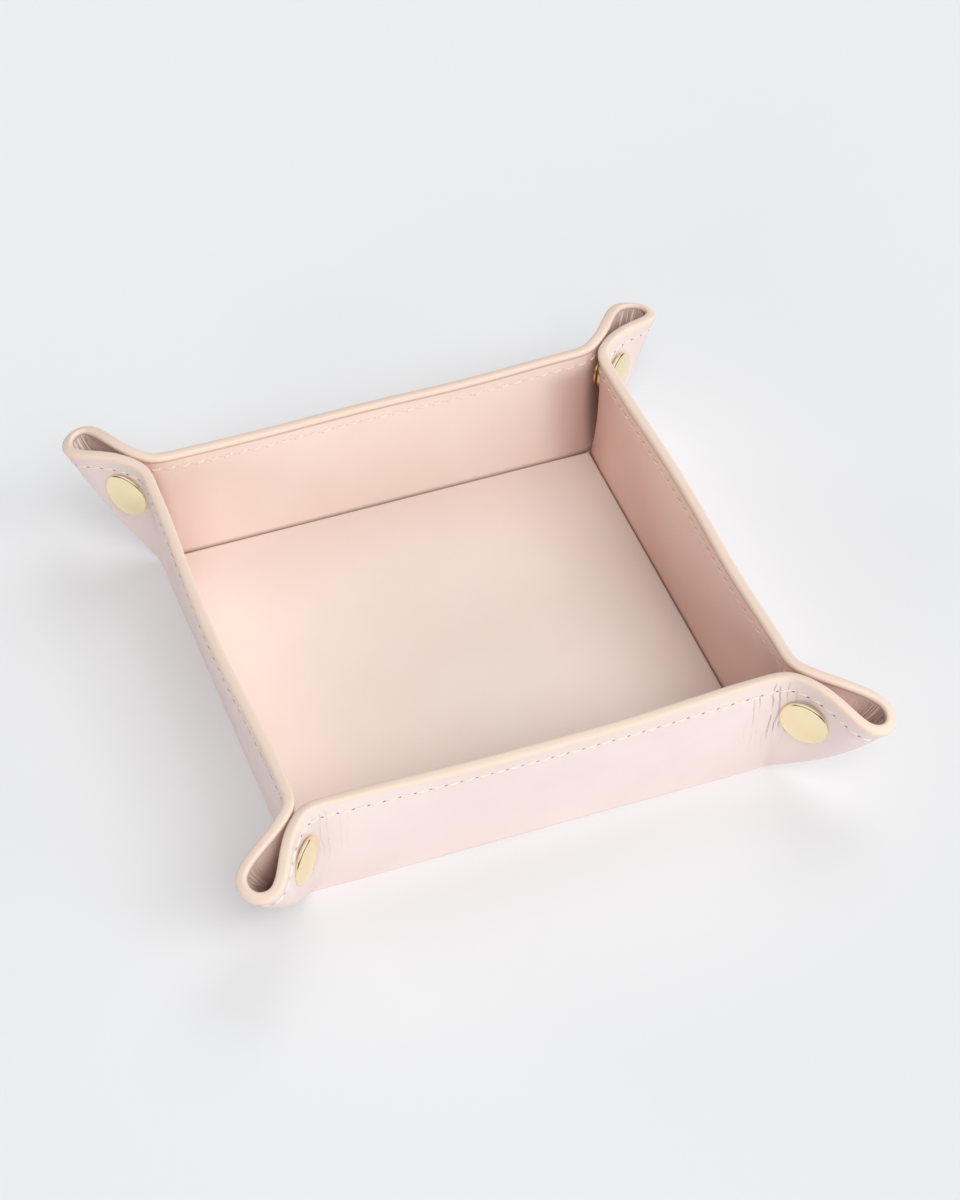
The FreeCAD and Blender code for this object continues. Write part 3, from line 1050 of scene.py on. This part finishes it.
def stud_profile():
    """Stud on the other ear: a flange with a round head."""
    flange, top = ear_lining_side - stud_flange, ear_lining_side - stud_reach
    bore = [(bore_radius, ear_lining_side), (bore_radius, flange), (axis_radius, flange), (axis_radius, top)]
    head = rounded_edge(stud_head, top, -1, stud_head_roll)[::-1]
    neck = [(stud_neck, flange + stud_foot_rise), (stud_foot, flange)]
    rim = rounded_edge(stud_radius, flange, -1, stud_roll)[::-1]
    return bore + head + neck + rim + [(stud_radius, ear_lining_side)]


post_radius = 4.5
post_seat = 4.3
post_flange = 0.7
post_roll = 0.35
# The hollow rivet's mouth, as radii and depths
post_mouth = ((rivet_radius, 0.0), (1.3, 0.4), (1.2, 1.4), (axis_radius, 1.5))


def post_profile():
    """Post behind the stud: a flat flange with a hollow rivet."""
    outer, end = ear_cover_side + post_flange, ear_lining_side - stud_flange
    rivet = [(axis_radius, end), (rivet_radius, end), (rivet_radius, ear_cover_side),
             (post_seat, ear_cover_side)]
    mouth = [(radius, outer - depth) for radius, depth in post_mouth]
    return rivet + rounded_edge(post_radius, outer, 1, post_roll) + mouth


cap_walls = {"front_right": "front", "right_back": "right", "back_left": "left", "left_front": "front"}
for corner_name, cap_wall in cap_walls.items():
    for wall_name in corner_name.split("_"):
        is_first = corner_name.startswith(wall_name + "_")
        other_name = corner_name.split("_")[1 if is_first else 0]
        has_cap = wall_name == cap_wall
        pieces = (("cap", cap_profile, snap_brass), ("socket", socket_profile, dull_brass))
        if not has_cap:
            pieces = (("stud", stud_profile, dull_brass), ("post", post_profile, snap_brass))
        for piece_name, profile_of, metal in pieces:
            node_name = f"{corner_name}_snap_{piece_name}"
            turned_piece(node_name + "_brass", profile_of(), corner_name, wall_names.index(wall_name),
                         is_first, metal, f"{wall_name}_{other_name}_ear", node_name)

base_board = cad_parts["base_board"]
base_board.data.materials.clear()
base_board.data.materials.append(mill_board)


# Stage
table_half = 3.0
table_tones = (linear(195, 187, 186), linear(198, 190, 189))
table_scale = 3.0
table_glow = (0.98, 0.985, 1.0, 1.0)
table_glow_strength = 0.32


def table_paper():
    """Matt white paper with a faint glow of its own."""
    n = Nodes("table_paper")
    tone = n.mix(n.noise(n.place(), table_scale, detail=2.0), *table_tones)
    n.link(tone, n.shader.inputs["Base Color"])
    n.set(Roughness=0.9, Specular_IOR_Level=0.0, Emission_Color=table_glow,
          Emission_Strength=table_glow_strength)
    return n.material


def stage_floor():
    corners = [(x * table_half, y * table_half, 0) for x, y in ((-1, -1), (1, -1), (1, 1), (-1, 1))]
    obj = new_object("table", corners, [(0, 1, 2, 3)], table_paper())


# Lamps: where each is round the tray (0 to the right, 90 behind) and above it, its softness, all in degrees,
# and its strength. The low ones light the outside of the walls and the table.
lamps = {"front": (270, 52, 40, 1.825), "behind": (45, 52, 40, 1.139), "key": (315, 40, 25, 0.75),
         "low_left": (225, 10, 20, 0.83), "low_right": (315, 15, 25, 0.66), "low_behind": (135, 10, 20, 0.6),
         "low_side": (0, 12, 20, 0.45)}
lamp_colour = (0.9, 1.0, 1.03)


def soft_sun(name, around, above, softness, strength):
    """A far, broad lamp."""
    light = bpy.data.lights.new(name, "SUN")
    light.angle = math.radians(softness)
    light.energy = strength
    light.color = lamp_colour
    obj = bpy.data.objects.new(name, light)
    obj.visible_glossy = False
    around, above = math.radians(around), math.radians(above)
    level = math.cos(above)
    towards = Vector((math.cos(around) * level, math.sin(around) * level, math.sin(above)))
    obj.rotation_euler = towards.to_track_quat("Z", "Y").to_euler()
    bpy.context.scene.collection.objects.link(obj)


# Room: how bright it is as light, as seen, and as mirrored low down, where it brightens, and its colour
room_light = 0.0
room_seen = 0.98
room_low = 0.06
room_rise = (0.4, 0.75)
room_colour = (0.97, 0.98, 1.0, 1.0)


def light_world():
    """An even pale room that polished metal mirrors, darker at the height of the table."""
    world = bpy.data.worlds.new("studio")
    bpy.context.scene.world = world
    world.use_nodes = True
    tree = world.node_tree

    path = add_node(tree, "ShaderNodeLightPath").outputs
    coordinates = add_node(tree, "ShaderNodeTexCoord").outputs["Generated"]
    direction = add_node(tree, "ShaderNodeSeparateXYZ", {0: coordinates}).outputs
    rise = {"Value": direction["Z"], "From Min": room_rise[0], "From Max": room_rise[1],
            "To Min": room_low, "To Max": room_seen}
    mirrored = add_node(tree, "ShaderNodeMapRange", rise, interpolation_type="SMOOTHSTEP").outputs[0]
    seen = add_node(tree, "ShaderNodeMath", {0: path["Is Camera Ray"], 1: path["Is Transmission Ray"]},
                    operation="MAXIMUM").outputs[0]
    level = add_node(tree, "ShaderNodeMapRange", {"Value": seen, "To Min": room_light,
                                                  "To Max": room_seen}).outputs[0]
    strength = add_node(tree, "ShaderNodeMix", {"Factor": path["Is Glossy Ray"], "A": level,
                                                "B": mirrored}).outputs[0]
    background = tree.nodes["Background"]
    tree.links.new(strength, background.inputs["Strength"])
    background.inputs["Color"].default_value = room_colour


# Camera, as fitted to the tray's edges in the photo
camera_lens = 112.13
camera_sensor = 36.0
camera_place = (-0.21917, -0.61470, 0.68200)
camera_right = Vector((0.93901, -0.34389, 0.0))
camera_up = Vector((0.24461, 0.66791, 0.70291))


def set_camera():
    camera = bpy.data.cameras.new("camera")
    camera.lens = camera_lens
    camera.sensor_width = camera_sensor
    obj = bpy.data.objects.new("camera", camera)
    back = camera_right.cross(camera_up)
    turn = Matrix((camera_right, camera_up, back)).transposed().to_4x4()
    obj.matrix_world = Matrix.Translation(camera_place) @ turn
    bpy.context.scene.collection.objects.link(obj)
    bpy.context.scene.camera = obj


stage_floor()
light_world()
for lamp_name, lamp in lamps.items():
    soft_sun(lamp_name, *lamp)
set_camera()
bpy.context.scene.view_settings.view_transform = "Standard"
